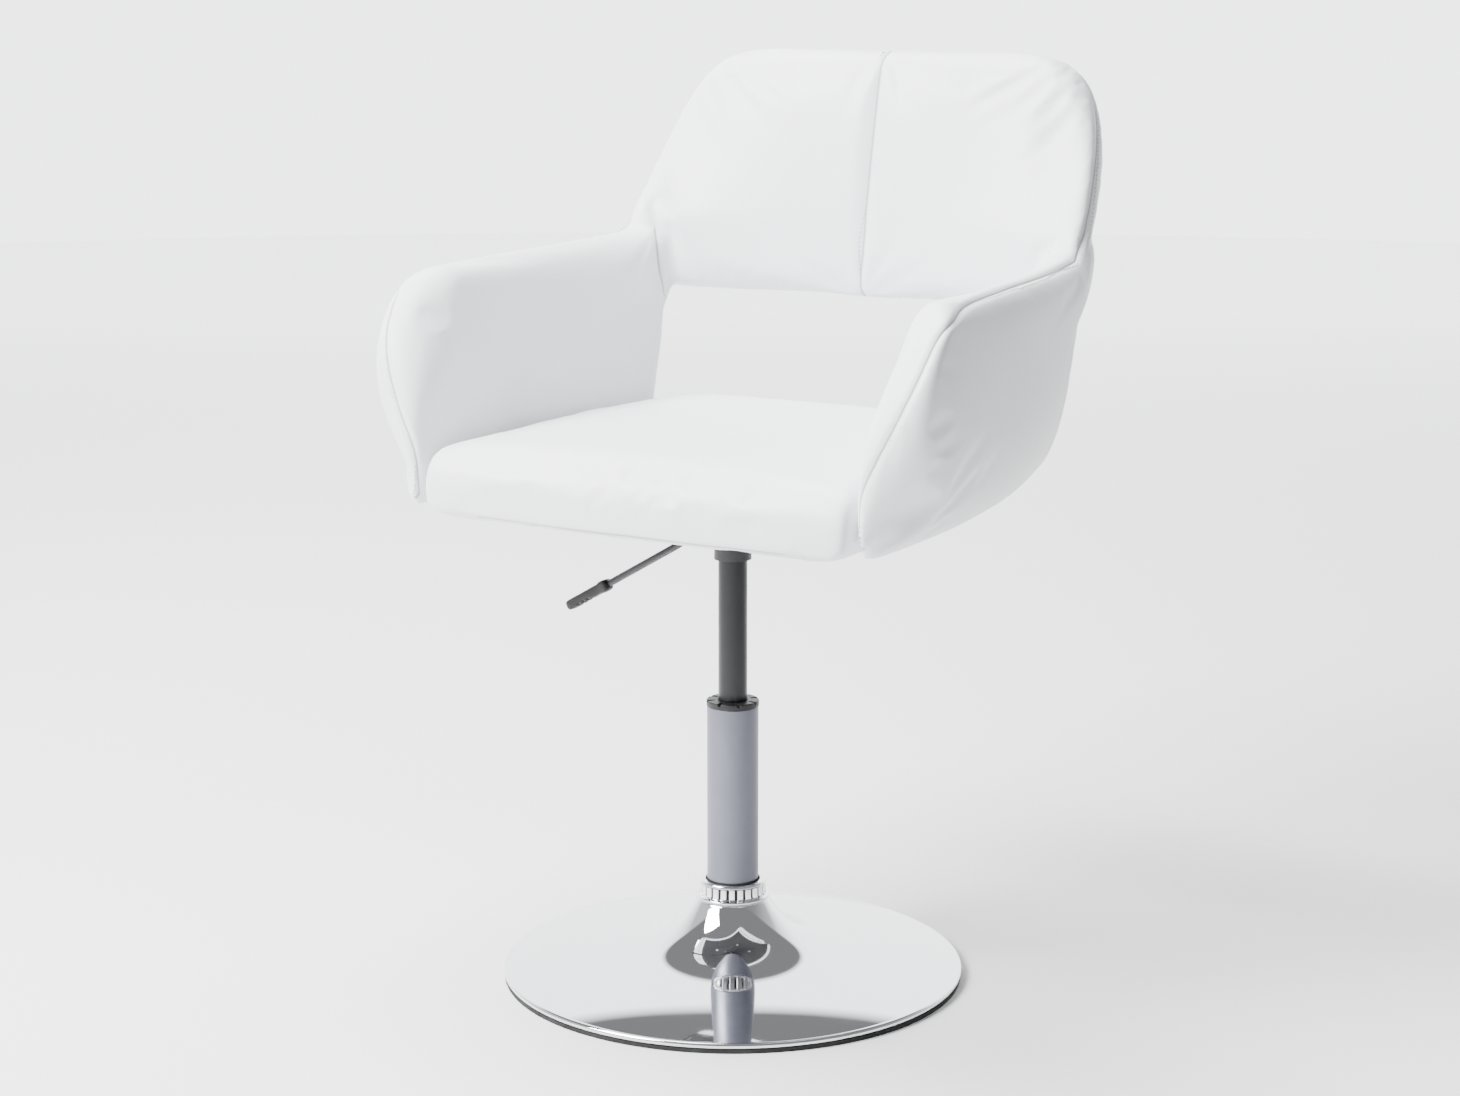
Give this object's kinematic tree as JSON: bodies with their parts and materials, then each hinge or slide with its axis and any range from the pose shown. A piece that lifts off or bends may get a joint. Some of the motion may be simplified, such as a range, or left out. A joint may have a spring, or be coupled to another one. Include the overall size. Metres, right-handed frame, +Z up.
{
  "type": "tub chair on gas lift",
  "caption": "White upholstered tub chair with arms and an open back window, on a gas-lift column with a height lever and a round chrome trumpet base.",
  "frame": {"origin": "on the floor, on the axis of the gas-lift column", "axes": "+Z up, the sitter faces -Y, +X is the sitter's left"},
  "size_m": [0.5988, 0.5585, 0.888],
  "materials": {
    "white_leather": "satin",
    "mirror_chrome": "polished",
    "satin_grey_tube": "satin",
    "charcoal_tube": "satin",
    "black_plastic": "satin",
    "black_rubber": "matte",
    "black_steel": "satin",
    "zinc_steel": "satin",
    "raw_steel": "satin",
    "raw_iron": "matte",
    "bearing_steel": "gloss",
    "cage_brass": "satin",
    "valve_alloy": "satin",
    "frame_steel": "matte",
    "plywood": "matte",
    "black_fabric": "matte"
  },
  "bodies": {
    "base": {"floor_pad": "black_rubber", "base_weight": "raw_iron", "base_shell": "mirror_chrome", "hub_sleeve": "raw_steel", "collar_ring": "mirror_chrome", "collar_seal": "black_rubber", "standpipe": "satin_grey_tube", "guide_bush": "black_plastic", "end_plate": "raw_steel", "lower_race": "bearing_steel"},
    "ball_train": {"bearing_balls": "bearing_steel", "ball_cage": "cage_brass"},
    "rod": {"upper_race": "bearing_steel", "retaining_clip": "raw_steel", "rubber_buffer": "black_rubber", "piston_rod": "bearing_steel", "piston": "valve_alloy", "piston_seal": "black_rubber"},
    "seat": {"pressure_tube": "charcoal_tube", "rod_gland": "cage_brass", "valve_body": "valve_alloy", "socket_cone": "black_steel", "lift_plate": "black_steel", "lever_pin": "zinc_steel", "mounting_screws": "zinc_steel", "washers": "zinc_steel", "t_nuts": "zinc_steel", "seat_board": "plywood", "dust_cover": "black_fabric", "staples": "zinc_steel", "rail_blocks": "plywood", "cross_rails": "frame_steel", "left_arm_frame": "frame_steel", "right_arm_frame": "frame_steel", "back_frame": "frame_steel", "seat_pad": "white_leather", "left_arm_pad": "white_leather", "right_arm_pad": "white_leather", "back_pad": "white_leather"},
    "lever": {"lever_hub": "black_steel", "lever_rod": "black_steel", "lever_grip": "black_plastic"},
    "valve_pin": {"release_pin": "bearing_steel"}
  },
  "joints": [
    {"name": "swivel", "type": "hinge", "parent": "base", "child": "rod", "pos_m": [0, 0, 0.022], "axis": [0, 0, 1], "continuous": true},
    {"name": "ball_roll", "type": "hinge", "parent": "base", "child": "ball_train", "pos_m": [0, 0, 0.022], "axis": [0, 0, 1], "continuous": true},
    {"name": "seat_height", "type": "slide", "parent": "rod", "child": "seat", "axis": [0, 0, 1], "range_m": [-0.125, 0]},
    {"name": "lever_tilt", "type": "hinge", "parent": "seat", "child": "lever", "pos_m": [-0.032, 0, 0.447], "axis": [0, 1, 0], "range_deg": [0, 8], "stiffness_Nm_per_rad": 0.6},
    {"name": "valve_press", "type": "slide", "parent": "seat", "child": "valve_pin", "axis": [0, 0, -1], "range_m": [0, 0.0046]}
  ],
  "couplings": [
    {"joint": "ball_roll", "follows": "swivel", "ratio": 0.5},
    {"joint": "valve_press", "follows": "lever_tilt", "m_per_rad": 0.032}
  ]
}
